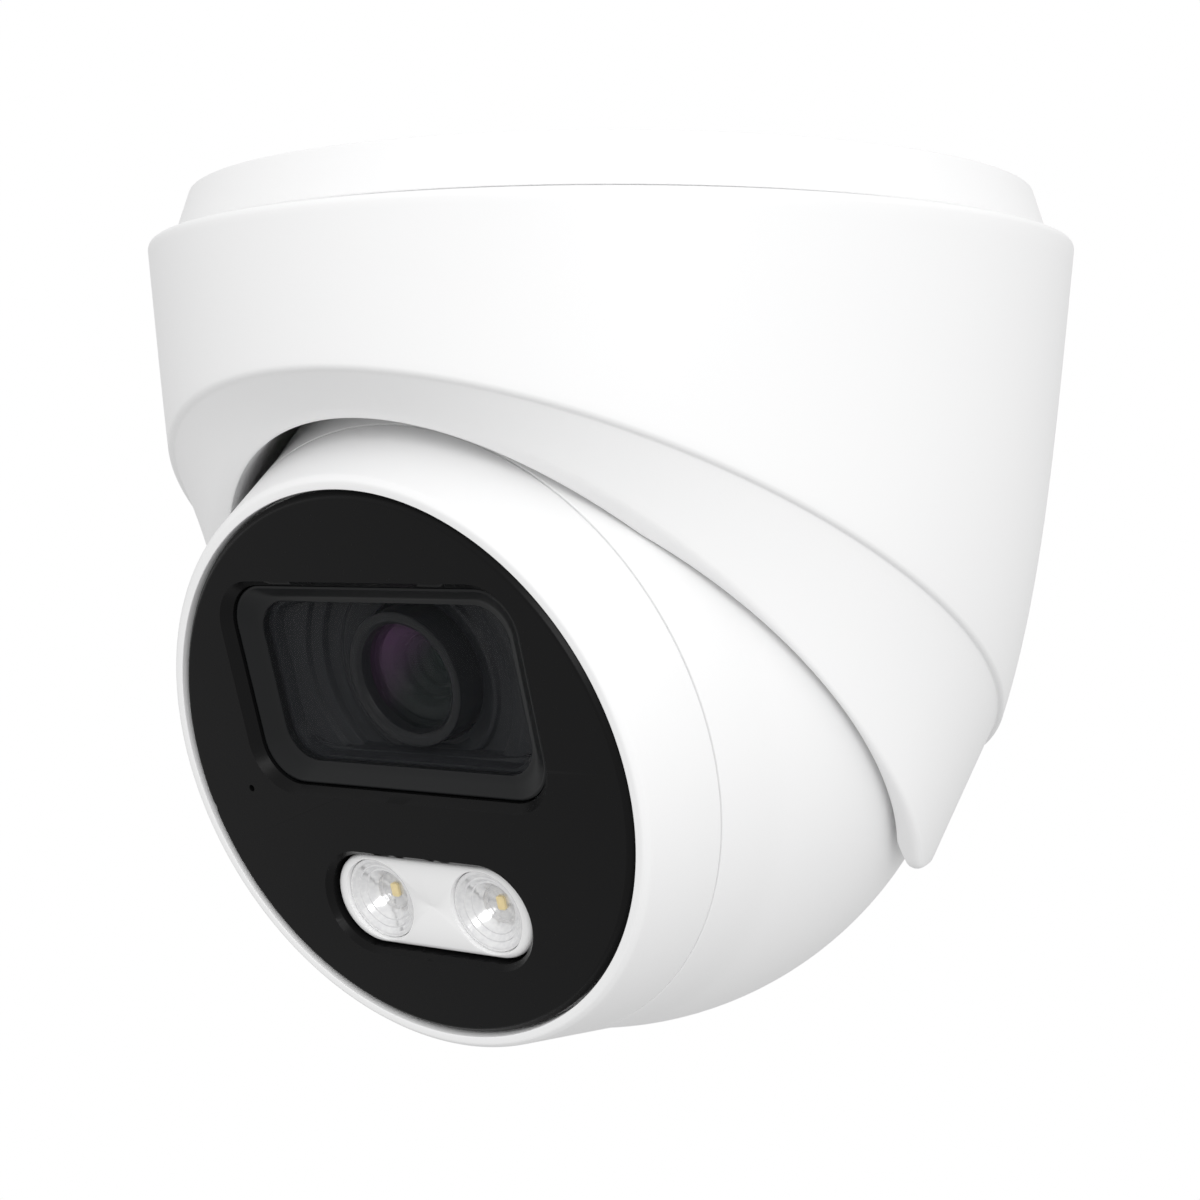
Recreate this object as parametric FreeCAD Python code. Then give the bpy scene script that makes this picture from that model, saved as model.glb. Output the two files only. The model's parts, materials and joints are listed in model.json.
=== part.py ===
import FreeCAD, Part
import math
import os

# Ceiling-mounted turret camera, in millimetres.
# Origin: centre of the mounting face. +Z points up into the ceiling, so the camera hangs below z = 0.
# The lens looks along -Y and a little down.

Vector = FreeCAD.Vector
os.makedirs("parts", exist_ok=True)

# ---- driving dimensions ----
base_top_radius = 55.6
base_bottom_radius = 57.7
base_height = 6.4
base_plate = 2.4
screw_circle_radius = 40.0
mounting_hole_radius = 2.3
cable_hole_radius = 8.0
cable_bore_radius = 3.6
grommet_flange = 1.4

spigot_radius = 56.9
spigot_wall = 2.6
spigot_bottom = -11.0
swivel_post_circle = 52.5
swivel_ring_bore = 46.0
swivel_ring_bottom = -12.8
hub_bore = 41.0
hub_neck_radius = 45.6
hub_flange_radius = 49.6
hub_top = -9.2
plate_top = -14.2
plate_bottom = -17.2
cover_post_circle = 54.6
hub_screw_circle = 43.3

cover_rim_radius = 61.0
cover_rim_z = -6.8
cover_bottom_z = -88.5
cover_taper = 0.092
cover_curl_depth = 45.7
cover_wall = 2.1
cover_bore_radius = 57.3

crease_tilt = 27.7
crease_distance = 50.2
crease_inset = 1.15
crease_round = 0.6
lip_tilt = 45.5
lip_distance = 58.5
lip_half_width = 49.7
lip_front_length = 61.4
lip_back_length = 46.0
lip_centre_up_slope = -46.1
lip_edge = 0.4
floor_thickness = 8.0
collar_radius = 51.8
collar_top = -24.0
collar_back = 10.0

ball_radius = 49.0
ball_forward = 3.8
ball_z = -60.4
ball_wall = 2.2
rest_tilt = 17.8
pocket_radius = 50.2
pocket_bore_radius = 48.2
pocket_bore_forward = 3.2
liner_bottom = -82.0
liner_top = -77.0
liner_front = 6.0

guide_inner = 50.6
guide_outer = 53.0
guide_width = 18.0
guide_slot = 8.4
pin_radius = 3.9
pin_bore = 2.4

face_z = 41.0
face_ring_radius = 37.0
face_ring_bevel = 0.6
face_recess_radius = 35.3
face_recess_floor = 38.0
face_ledge_radius = 33.0
face_ledge_back = 36.5
flare_start_z = 23.0
flare_blend_radius = 25.0
seam_z = 31.0
seam_gap = 0.24
seal_radius = 40.1
seal_width = 1.1
shell_screw_circle = 35.4
plate_radius = 34.9
plate_back = 38.5
lens_height = 9.8
led_height = -18.4
led_spacing = 8.7

ball_centre = Vector(0, -ball_forward, ball_z)
up = Vector(0, 0, 1)


# ---- helpers ----
def save(name, shape):
    shape.exportStep("parts/" + name + ".step")


def ring_solid(outer, inner, low, high):
    disc = Part.makeCylinder(outer, high - low, Vector(0, 0, low))
    return disc.cut(Part.makeCylinder(inner, high - low, Vector(0, 0, low)))


def cylinder(radius, low, high, x=0.0, y=0.0):
    return Part.makeCylinder(radius, high - low, Vector(x, y, low))


def box(width, depth, low, high, x=0.0, y=0.0):
    return Part.makeBox(width, depth, high - low, Vector(x - width / 2, y - depth / 2, low))


def revolved(points):
    """Solid of revolution about Z from (radius, z) corners."""
    corners = [Vector(radius, 0, z) for radius, z in points]
    wire = Part.makePolygon(corners + [corners[0]])
    return Part.Face(wire).revolve(Vector(0, 0, 0), up, 360)


def on_circle(count, radius, start=0.0):
    """(x, y) of evenly spaced places on a circle; start is in degrees from +X."""
    angles = [math.radians(start + index * 360 / count) for index in range(count)]
    return [(radius * math.cos(angle), radius * math.sin(angle)) for angle in angles]


def copies(shape, places):
    """The same solid repeated at (x, y) places, as one group of separate solids."""
    moved = []
    for x, y in places:
        piece = shape.copy()
        piece.translate(Vector(x, y, 0))
        moved.append(piece)
    return Part.Compound(moved)


def screw(head_radius, shank_radius, head_top, head_height, tip):
    """Pan-head screw pointing down Z."""
    head = cylinder(head_radius, head_top - head_height, head_top)
    shank = cylinder(shank_radius, tip, head_top - head_height)
    socket = cylinder(head_radius * 0.45, head_top - head_height * 0.6, head_top)
    return head.fuse(shank).removeSplitter().cut(socket)


def rounded_box(width, depth, corner, low, high, x=0.0, y=0.0):
    block = box(width, depth, low, high, x, y)
    upright = [edge for edge in block.Edges if abs(edge.tangentAt(edge.FirstParameter).z) > 0.99]
    return block.makeFillet(corner, upright)


def rounded_funnel(wide, narrow, corners, low, high, y):
    """Tapered rounded-rectangle solid: narrow at the bottom, wide at the top."""
    top = rounded_box(wide[0], wide[1], corners[0], high, high + 1, 0, y)
    bottom = rounded_box(narrow[0], narrow[1], corners[1], low - 1, low, 0, y)
    top_wire = [face for face in top.Faces if abs(face.CenterOfMass.z - high) < 1e-6][0].OuterWire
    bottom_wire = [face for face in bottom.Faces if abs(face.CenterOfMass.z - low) < 1e-6][0].OuterWire
    return Part.makeLoft([bottom_wire, top_wire], True, True)


def stadium(length, width, low, high, y):
    """Slot-shaped solid lying along X."""
    reach = (length - width) / 2
    ends = cylinder(width / 2, low, high, -reach, y).fuse(cylinder(width / 2, low, high, reach, y))
    return ends.fuse(box(2 * reach, width, low, high, 0, y)).removeSplitter()


def to_ball(shape):
    """Move a shape from the ball's own frame (Z along the lens) to its place at rest."""
    sine = math.sin(math.radians(rest_tilt))
    cosine = math.cos(math.radians(rest_tilt))
    matrix = FreeCAD.Matrix(1, 0, 0, ball_centre.x, 0, -sine, -cosine, ball_centre.y,
                            0, cosine, -sine, ball_centre.z, 0, 0, 0, 1)
    moved = shape.copy()
    moved.Placement = FreeCAD.Placement(matrix).multiply(shape.Placement)
    return moved


def save_in_ball(name, shape):
    save(name, to_ball(shape))


# ---- mounting base: shallow cone with a spigot that the cover turns on ----
def mounting_base():
    inner = spigot_radius - spigot_wall
    shell = revolved([(0, 0), (base_top_radius, 0), (base_bottom_radius, -base_height),
                      (spigot_radius, -base_height), (spigot_radius, spigot_bottom),
                      (inner, spigot_bottom), (inner, -base_plate), (0, -base_plate)])
    for x, y in on_circle(3, screw_circle_radius, 90):
        shell = shell.fuse(cylinder(mounting_hole_radius + 2.2, -5.0, -base_plate, x, y))
        shell = shell.cut(cylinder(mounting_hole_radius, -5.0, 0, x, y))
    for x, y in on_circle(3, swivel_post_circle, 30):
        shell = shell.fuse(cylinder(2.4, spigot_bottom, -base_plate, x, y))
        shell = shell.cut(cylinder(0.95, spigot_bottom, spigot_bottom + 5, x, y))
    shell = shell.cut(cylinder(cable_hole_radius, -base_plate, 0))
    shell = shell.cut(ring_solid(53.4, 50.6, -1.0, 0))
    shell = shell.cut(ring_solid(spigot_radius, 55.6, -8.7, -7.3))
    return shell.removeSplitter()


def cable_grommet():
    collar = ring_solid(cable_hole_radius, cable_bore_radius, -base_plate, 0)
    flange = ring_solid(cable_hole_radius + 1.6, cable_bore_radius, -base_plate - grommet_flange, -base_plate)
    return collar.fuse(flange).removeSplitter()


def swivel_ring():
    """Screwed under the spigot; the hub's flange rides on its inner edge."""
    ring = ring_solid(spigot_radius, swivel_ring_bore, swivel_ring_bottom, spigot_bottom)
    for x, y in on_circle(3, swivel_post_circle, 30):
        ring = ring.cut(cylinder(1.0, swivel_ring_bottom, spigot_bottom, x, y))
    return ring


def screws_from_below(head_radius, shank_radius, seat, head_height, tip, places):
    """Screws whose heads sit under a seat height and whose shanks point up."""
    head = cylinder(head_radius, seat - head_height, seat)
    shank = cylinder(shank_radius, seat, tip)
    socket = cylinder(head_radius * 0.45, seat - head_height, seat - head_height * 0.4)
    return copies(head.fuse(shank).removeSplitter().cut(socket), places)


save("mounting_base", mounting_base())
save("ceiling_gasket", ring_solid(53.3, 50.7, -1.0, 0))
save("cable_grommet", cable_grommet())
save("rim_seal", ring_solid(spigot_radius + 0.1, 55.6, -8.6, -7.4))
save("swivel_ring", swivel_ring())
swivel_places = on_circle(3, swivel_post_circle, 30)
save("swivel_ring_screws", screws_from_below(1.9, 0.9, swivel_ring_bottom, 0.9, -7.0, swivel_places))
save("friction_washer", ring_solid(49.3, 46.4, spigot_bottom, spigot_bottom + 0.2))


# ---- outer cover: bowl, stepped band and rounded lip around the ball ----
def cover_radius(z):
    """Outside radius of the bowl at a height: a light taper that curls in towards the bottom."""
    depth = cover_rim_z - z
    return cover_rim_radius - cover_taper * depth - (depth / cover_curl_depth) ** 4


def bowl(inset, top_z, bottom_z, rim_rounding):
    """Solid bowl, inset from the outside surface."""
    start_z = top_z - rim_rounding
    steps = 9
    heights = [start_z + (bottom_z - start_z) * index / steps for index in range(steps + 1)]
    curve = Part.BSplineCurve()
    curve.interpolate([Vector(cover_radius(z) - inset, 0, z) for z in heights])
    first = Vector(cover_radius(start_z) - inset, 0, start_z)
    last = Vector(cover_radius(bottom_z) - inset, 0, bottom_z)
    corner = Vector(first.x - rim_rounding, 0, top_z)
    edges = [curve.toShape()]
    edges.append(Part.makeLine(last, Vector(0, 0, bottom_z)))
    edges.append(Part.makeLine(Vector(0, 0, bottom_z), Vector(0, 0, top_z)))
    edges.append(Part.makeLine(Vector(0, 0, top_z), corner))
    if rim_rounding > 0:
        turn = rim_rounding * (1 - math.sqrt(0.5))
        edges.append(Part.Arc(corner, Vector(first.x - turn, 0, top_z - turn), first).toShape())
    return Part.Face(Part.Wire(Part.__sortEdges__(edges))).revolve(Vector(0, 0, 0), up, 360)


def slope_normal(tilt):
    """Unit normal of a slanted opening plane, pointing forward and down."""
    angle = math.radians(tilt)
    return Vector(0, -math.sin(angle), -math.cos(angle))


def beyond_plane(tilt, distance):
    """Large block on the open side of a slanted plane."""
    reach = 300.0
    block = Part.makeBox(reach, reach, reach)
    turn = FreeCAD.Rotation(up, slope_normal(tilt))
    corner = turn.multVec(Vector(-reach / 2, -reach / 2, 0))
    block.Placement = FreeCAD.Placement(slope_normal(tilt) * distance + corner, turn)
    return block


def crease_point(azimuth):
    """Where the slanted crease plane meets the inset bowl; azimuth 0 is the front."""
    normal = slope_normal(crease_tilt)
    heading = Vector(math.sin(azimuth), -math.cos(azimuth), 0)
    z = -50.0
    for _ in range(60):
        radius = cover_radius(z) - crease_inset
        z = 0.5 * (z + (crease_distance - radius * normal.dot(heading)) / normal.z)
    return Vector(heading.x * radius, heading.y * radius, z)


def lip_point(angle, inset, distance):
    """Outline of the lip on its own plane: an ellipse that is longer towards the front."""
    normal = slope_normal(lip_tilt)
    up_slope = Vector(0, normal.z, -normal.y)
    length = lip_front_length if math.cos(angle) > 0 else lip_back_length
    along = lip_centre_up_slope + (length - inset) * math.cos(angle)
    sideways = (lip_half_width - inset) * math.sin(angle)
    return normal * distance + up_slope * along + Vector(sideways, 0, 0)


def closed_curve(points):
    curve = Part.BSplineCurve()
    curve.interpolate(Points=points, PeriodicFlag=True)
    return Part.Wire(curve.toShape())


def band_body():
    """Block whose side is the smooth band from the crease down to the bevelled lip."""
    angles = [math.radians(180 + index * 10) for index in range(36)]
    crease = closed_curve([crease_point(angle) for angle in angles])
    shoulder = closed_curve([lip_point(angle, 0, lip_distance - lip_edge) for angle in angles])
    lip = closed_curve([lip_point(angle, lip_edge, lip_distance) for angle in angles])
    return Part.makeLoft([crease, shoulder, lip], True, True)


def pocket():
    bore = cylinder(pocket_bore_radius, ball_z, -14, 0, -pocket_bore_forward)
    return Part.makeSphere(pocket_radius, ball_centre).fuse(bore)


def outer_cover():
    upper = bowl(0, cover_rim_z, -96, 1.0).cut(beyond_plane(crease_tilt, crease_distance))
    crease_edges = [edge for edge in upper.Edges if edge.BoundBox.ZMin < -60 and edge.Length > 100]
    upper = upper.makeFillet(crease_round, crease_edges)
    body = upper.fuse(band_body())
    body = body.cut(box(200, 200, -160, cover_bottom_z))
    body = body.cut(pocket())
    hollow = bowl(cover_wall, cover_rim_z, -88, 0).common(cylinder(cover_bore_radius, -90, 0))
    hollow = hollow.cut(beyond_plane(crease_tilt, crease_distance - floor_thickness))
    collar = cylinder(collar_radius, cover_bottom_z, collar_top, 0, -pocket_bore_forward)
    reach = 3 * collar_radius
    in_front = box(reach, reach, cover_bottom_z, collar_top, 0, collar_back - reach / 2)
    hollow = hollow.cut(collar.common(in_front))
    body = body.cut(hollow)
    for x, y in on_circle(3, cover_post_circle, 90):
        body = body.fuse(cylinder(3.0, -32, plate_bottom, x, y))
        body = body.cut(cylinder(0.95, -24, plate_bottom, x, y))
    lock_hole = Part.makeCylinder(1.55, 8, Vector(0, 55, -9.4), Vector(0, 1, 0))
    return body.cut(lock_hole).removeSplitter()


def socket_liner():
    """Thin low-friction strip on the back of the pocket."""
    shell = Part.makeSphere(pocket_radius, ball_centre).cut(Part.makeSphere(49.4, ball_centre))
    reach = 3 * pocket_radius
    return shell.common(box(reach, reach, liner_bottom, liner_top, 0, liner_front + reach / 2))


save("outer_cover", outer_cover())
save("socket_liner", socket_liner())
lock_screw = Part.makeCylinder(1.5, 3.1, Vector(0, 57.5, -9.4), Vector(0, 1, 0))
save("cover_lock_screw", lock_screw.cut(Part.makeCylinder(0.7, 1.6, Vector(0, 59.0, -9.4), Vector(0, 1, 0))))


# ---- swivel hub, carrier plate and tilt guide: all turn with the cover ----
def swivel_hub():
    hub = ring_solid(hub_neck_radius, hub_bore, plate_top, hub_top)
    hub = hub.fuse(ring_solid(hub_flange_radius, hub_bore, -10.7, hub_top)).removeSplitter()
    for x, y in on_circle(3, hub_screw_circle, 0):
        hub = hub.cut(cylinder(1.0, plate_top, -10.6, x, y))
    return hub


def carrier_plate():
    plate = ring_solid(57.0, hub_bore, plate_bottom, plate_top)
    for x, y in on_circle(3, hub_screw_circle, 0):
        plate = plate.cut(cylinder(1.0, plate_bottom, plate_top, x, y))
    for x, y in on_circle(3, cover_post_circle, 90):
        plate = plate.cut(cylinder(0.95, plate_bottom, plate_top, x, y))
        plate = plate.cut(cylinder(2.0, -15.7, plate_top, x, y))
    for x in (-34, 34):
        plate = plate.cut(cylinder(1.3, plate_bottom, plate_top, x, 28))
    return plate


def guide_sector(inner, outer, width, low_angle, high_angle):
    """Part of a ring about the ball's X axis; angles go up from straight back."""
    ring = ring_solid(outer, inner, -width / 2, width / 2)
    wedge = Part.makeCylinder(outer + 5, width, Vector(0, 0, -width / 2), up, high_angle - low_angle)
    wedge.rotate(Vector(0, 0, 0), up, low_angle)
    sector = ring.common(wedge)
    sector.rotate(Vector(0, 0, 0), Vector(1, 1, 1), 120)
    sector.translate(ball_centre)
    return sector


def tilt_guide():
    rail = guide_sector(guide_inner, guide_outer, guide_width, -7, 90)
    for x in (-23, 23):
        arm = box(32, 8, -19.2, plate_bottom, x, 28)
        arm = arm.cut(Part.makeSphere(guide_inner, ball_centre))
        rail = rail.fuse(arm)
    rail = rail.cut(guide_sector(guide_inner - 5, guide_outer + 5, guide_slot, -2, 82))
    for x in (-34, 34):
        rail = rail.cut(cylinder(1.3, -19.2, plate_bottom, x, 28))
    return rail.removeSplitter()


save("swivel_hub", swivel_hub())
save("carrier_plate", carrier_plate())
hub_places = on_circle(3, hub_screw_circle, 0)
save("hub_screws", screws_from_below(1.9, 0.95, plate_bottom, 1.2, -11.0, hub_places))
save("cover_screws", copies(screw(1.9, 0.9, -14.4, 1.3, -23.0), on_circle(3, cover_post_circle, 90)))
save("tilt_guide", tilt_guide())
save("guide_screws", screws_from_below(2.2, 1.25, -19.2, 1.4, -14.6, [(-34, 28), (34, 28)]))


# ---- tilt shoe: slides along the guide and holds the ball's rear pole ----
def tilt_shoe():
    pin = cylinder(pin_radius, -54.2, -42.4).fuse(cylinder(7.5, -49.5, -47.2))
    return pin.removeSplitter().cut(cylinder(pin_bore, -55, -42))


save_in_ball("tilt_shoe", tilt_shoe())
save_in_ball("shoe_cap", ring_solid(6.5, pin_radius, -54.4, -53.3))
save_in_ball("shoe_retainer", ring_solid(6.6, pin_radius, -43.6, -42.6))
save_in_ball("wave_spring", ring_solid(6.6, pin_radius + 0.5, -44.4, -43.6))


# ---- ball shells ----
def ball_outside():
    """Sphere with a flared front drum and a smooth blend between them."""
    junction = math.sqrt(ball_radius ** 2 - flare_start_z ** 2)
    edge_z = face_z - face_ring_bevel
    ball = Part.makeSphere(ball_radius).cut(cylinder(60, flare_start_z, 60))
    drum = Part.makeCone(junction, face_ring_radius, edge_z - flare_start_z, Vector(0, 0, flare_start_z))
    bevel = Part.makeCone(face_ring_radius, face_ring_radius - face_ring_bevel, face_ring_bevel,
                          Vector(0, 0, edge_z))
    ball = ball.fuse(drum).fuse(bevel)
    corner = [edge for edge in ball.Edges if abs(edge.CenterOfMass.z - flare_start_z) < 0.01]
    return ball.makeFillet(flare_blend_radius, corner)


def ball_inside():
    """Cavity of the two shells."""
    wide = math.sqrt(ball_radius ** 2 - flare_start_z ** 2) - ball_wall
    slope = (wide + ball_wall - face_ring_radius) / (face_z - face_ring_bevel - flare_start_z)
    narrow = wide - slope * (face_ledge_back - flare_start_z)
    cavity = Part.makeSphere(ball_radius - ball_wall).cut(cylinder(60, flare_start_z, 60))
    return cavity.fuse(Part.makeCone(wide, narrow, face_ledge_back - flare_start_z,
                                     Vector(0, 0, flare_start_z)))


shell_places = on_circle(4, shell_screw_circle, 45)


def rear_shell():
    shell = ball_outside().cut(ball_inside())
    shell = shell.cut(cylinder(60, seam_z - seam_gap / 2, 60))
    flange = ring_solid(41.5, 33.8, 25.2, 27.0).common(ball_outside())
    shell = shell.fuse(flange)
    for x, y in shell_places:
        shell = shell.cut(cylinder(1.1, 25.2, 27.0, x, y))
    boss = cylinder(10.4, -48.0, -44.6).common(Part.makeSphere(ball_radius - 1))
    shell = shell.fuse(boss)
    shell = shell.cut(cylinder(8.2, -50, -46.8))
    return shell.cut(cylinder(pin_radius + 0.3, -50, -40)).removeSplitter()


def front_shell():
    shell = ball_outside().cut(ball_inside())
    shell = shell.cut(cylinder(60, -60, seam_z + seam_gap / 2))
    shell = shell.cut(cylinder(face_ledge_radius, face_ledge_back - 1, 60))
    shell = shell.cut(cylinder(face_recess_radius, face_recess_floor, 60))
    for x, y in shell_places:
        shell = shell.fuse(cylinder(2.5, 27.2, face_ledge_back, x, y))
        shell = shell.cut(cylinder(1.05, 27.2, 34.0, x, y))
    return shell.removeSplitter()


save_in_ball("rear_shell", rear_shell())
save_in_ball("front_shell", front_shell())
seal = ring_solid(seal_radius, seal_radius - seal_width, seam_z - seam_gap / 2, seam_z + seam_gap / 2)
save_in_ball("shell_seal", seal)
save_in_ball("shell_screws", screws_from_below(2.0, 1.0, 25.2, 1.4, 33.5, shell_places))


# ---- face: black plate, lens bezel, window, baffle ----
def face_plate():
    plate = cylinder(plate_radius, plate_back, face_z)
    rim = [edge for edge in plate.Edges if abs(edge.CenterOfMass.z - face_z) < 0.01]
    plate = plate.makeChamfer(0.8, rim)
    plate = plate.cut(rounded_box(46.0, 26.4, 5.6, plate_back, face_z, 0, lens_height))
    plate = plate.cut(rounded_funnel((48.3, 28.2), (46.0, 26.4), (6.5, 5.6), face_z - 1.2, face_z, lens_height))
    plate = plate.cut(stadium(32.2, 12.7, plate_back, face_z, led_height))
    plate = plate.cut(stadium(33.4, 13.9, face_z - 0.6, face_z, led_height))
    plate = plate.cut(cylinder(0.9, plate_back, face_z, -34.1, -7.3))
    return plate.cut(cylinder(0.45, plate_back, face_z, -25.7, -4.0))


def lens_bezel():
    bezel = rounded_box(45.6, 26.0, 5.4, 36.4, 39.5, 0, lens_height)
    bezel = bezel.fuse(rounded_box(48.4, 28.6, 6.4, 36.4, plate_back, 0, lens_height))
    bezel = bezel.cut(rounded_funnel((44.6, 25.0), (40.0, 21.2), (5.0, 4.6), 38.0, 39.5, lens_height))
    bezel = bezel.cut(rounded_box(40.0, 21.2, 4.6, 37.9, 38.1, 0, lens_height))
    return bezel.cut(rounded_box(41.4, 22.6, 5.0, 36.4, 38.0, 0, lens_height)).removeSplitter()


def lens_baffle():
    tray = rounded_box(41.2, 22.4, 4.9, 31.5, 37.0, 0, lens_height)
    sizes = [(38.4, 19.8, 4.4, 35.2), (35.0, 18.6, 4.2, 34.2), (31.0, 18.6, 4.0, 33.2)]
    for width, depth, corner, floor in sizes:
        tray = tray.cut(rounded_box(width, depth, corner, floor, 37.0, 0, lens_height))
    return tray.cut(cylinder(9.05, 31.5, 37.0, 0, lens_height))


save_in_ball("face_plate", face_plate())
save_in_ball("face_seal", ring_solid(34.8, 33.3, face_recess_floor, plate_back))
save_in_ball("lens_bezel", lens_bezel())
save_in_ball("lens_window", rounded_box(41.2, 22.4, 4.9, 37.0, 38.0, 0, lens_height))
save_in_ball("lens_baffle", lens_baffle())


# ---- lens, filter and sensor ----
def lens_barrel():
    tube = ring_solid(8.75, 5.6, 17.0, 36.0)
    tube = tube.cut(cylinder(7.0, 32.0, 36.0))
    rim = [edge for edge in tube.Edges if abs(edge.CenterOfMass.z - 36.0) < 0.01]
    tube = tube.makeChamfer(0.5, rim)
    tube.translate(Vector(0, lens_height, 0))
    return tube


def lens_element(radius, low, edge_high, bulge):
    """Round lens with a flat back and a domed front."""
    curvature = (radius ** 2 + bulge ** 2) / (2 * bulge)
    dome = Part.makeSphere(curvature, Vector(0, 0, edge_high + bulge - curvature))
    blank = cylinder(radius, low, edge_high + bulge).common(dome)
    blank.translate(Vector(0, lens_height, 0))
    return blank


def lens_holder():
    block = rounded_box(21, 21, 2.0, 12.0, 24.0, 0, lens_height)
    block = block.cut(cylinder(8.8, 17.0, 24.0, 0, lens_height))
    block = block.cut(cylinder(5.0, 12.0, 24.0, 0, lens_height))
    return block.cut(box(15, 13, 12.0, 16.4, 0, lens_height))


board_places = [(x, y) for x in (-16, 16) for y in (lens_height - 14, lens_height + 14)]
main_places = [(x, y) for x in (-29, 29) for y in (-14, 14)]


def sensor_board():
    board = rounded_box(38, 34, 2.0, 10.4, 12.0, 0, lens_height)
    for x, y in board_places:
        board = board.cut(cylinder(1.0, 10.4, 12.0, x, y))
    return board


save_in_ball("lens_barrel", lens_barrel())
save_in_ball("front_element", lens_element(6.95, 32.9, 34.4, 1.1))
save_in_ball("lens_spacer", ring_solid(6.9, 4.2, 32.0, 32.9).translated(Vector(0, lens_height, 0)))
save_in_ball("rear_element", lens_element(5.55, 20.0, 22.5, 1.5))
save_in_ball("lens_holder", lens_holder())
save_in_ball("infrared_filter", box(12, 12, 15.8, 16.4, 0, lens_height))
save_in_ball("image_sensor", box(11, 9, 12.0, 13.3, 0, lens_height))
save_in_ball("sensor_board", sensor_board())
save_in_ball("sensor_board_screws", screws_from_below(1.8, 0.85, 10.4, 1.2, 17.0, board_places))


# ---- heat-spreading frame and main board ----
def heat_sink():
    frame = cylinder(38.4, 23.2, 25.2)
    frame = frame.fuse(box(34, 12, 25.2, 27.1, 0, led_height))
    for x, y in board_places:
        frame = frame.fuse(cylinder(2.3, 12.0, 23.2, x, y))
        frame = frame.cut(cylinder(0.9, 12.0, 18.0, x, y))
    for x, y in main_places:
        frame = frame.fuse(cylinder(2.5, 1.6, 23.2, x, y))
        frame = frame.cut(cylinder(0.9, 1.6, 8.0, x, y))
    for x, y in shell_places:
        frame = frame.cut(cylinder(2.6, 23.2, 25.2, x, y))
    return frame.cut(box(22, 22, 23.2, 25.2, 0, lens_height)).removeSplitter()


def main_board():
    board = cylinder(40.0, 0.0, 1.6).cut(box(90, 40, 0.0, 1.6, 0, 48)).cut(box(90, 40, 0.0, 1.6, 0, -48))
    for x, y in main_places:
        board = board.cut(cylinder(1.0, 0.0, 1.6, x, y))
    return board


def board_connectors():
    upper = box(14, 4, 8.9, 10.4, 0, 22)
    lower = box(14, 4, 1.6, 3.1, 0, 22)
    return Part.Compound([upper, lower])


save_in_ball("heat_sink", heat_sink())
save_in_ball("main_board", main_board())
save_in_ball("main_board_screws", screws_from_below(1.9, 0.85, 0.0, 1.2, 7.0, main_places))
save_in_ball("board_connectors", board_connectors())
save_in_ball("ribbon_cable", box(12, 0.4, 3.1, 8.9, 0, 22))
save_in_ball("processor", box(16, 16, 1.6, 3.2, -12, -8))
save_in_ball("memory_card_socket", box(15, 14, -1.9, 0.0, 10, -16))
save_in_ball("reset_button", box(6, 6, -2.4, 0.0, -14, -20).fuse(cylinder(1.6, -3.6, -2.4, -14, -20)))


# ---- light module and microphone ----
led_places = [(-led_spacing, led_height), (led_spacing, led_height)]


def led_tray():
    tray = stadium(31.4, 12.1, 30.5, 39.75, led_height)
    for x, y in led_places:
        tray = tray.cut(Part.makeCone(3.1, 5.6, 8.1, Vector(x, y, 30.5)))
        tray = tray.cut(cylinder(5.6, 38.6, 39.75, x, y))
    return tray


def led_lens():
    cone = Part.makeCone(2.7, 5.25, 8.1, Vector(0, 0, 30.5)).fuse(cylinder(5.25, 38.6, 39.25))
    return cone.removeSplitter().cut(cylinder(2.35, 37.0, 39.25))


save_in_ball("led_tray", led_tray())
save_in_ball("led_lenses", copies(led_lens(), led_places))
save_in_ball("led_board", rounded_box(34, 12, 2.0, 27.6, 29.2, 0, led_height))
save_in_ball("thermal_pad", box(30, 10, 27.1, 27.6, 0, led_height))
save_in_ball("led_chips", copies(box(3.4, 3.4, 29.2, 30.3), led_places))
save_in_ball("microphone", box(2.8, 3.8, 37.3, plate_back, -26.0, -4.0))
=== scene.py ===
import bpy
import json
import math
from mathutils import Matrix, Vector


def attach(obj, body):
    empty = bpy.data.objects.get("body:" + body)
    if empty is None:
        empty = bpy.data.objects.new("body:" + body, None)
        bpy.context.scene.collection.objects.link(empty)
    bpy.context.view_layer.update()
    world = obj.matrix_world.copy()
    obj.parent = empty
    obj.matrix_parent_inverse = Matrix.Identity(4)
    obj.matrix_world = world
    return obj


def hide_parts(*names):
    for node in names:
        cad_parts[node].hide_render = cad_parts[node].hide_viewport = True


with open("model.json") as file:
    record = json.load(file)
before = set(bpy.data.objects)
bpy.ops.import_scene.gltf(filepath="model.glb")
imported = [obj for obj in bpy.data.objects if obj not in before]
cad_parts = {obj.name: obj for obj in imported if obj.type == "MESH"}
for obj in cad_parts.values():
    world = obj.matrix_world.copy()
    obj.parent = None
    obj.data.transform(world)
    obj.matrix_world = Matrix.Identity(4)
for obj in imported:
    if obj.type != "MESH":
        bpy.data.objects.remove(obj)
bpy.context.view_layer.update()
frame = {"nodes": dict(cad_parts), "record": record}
nodes = frame["nodes"]

# ---------------------------------------------------------------------------
# Ceiling base: a shallow white moulded cone that stays fixed to the ceiling.
# Moulded in one piece, with three screw holes and a cable hole in its floor.
# The finish of every white moulding is made here too.
# ---------------------------------------------------------------------------
MM = 0.001


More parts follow.
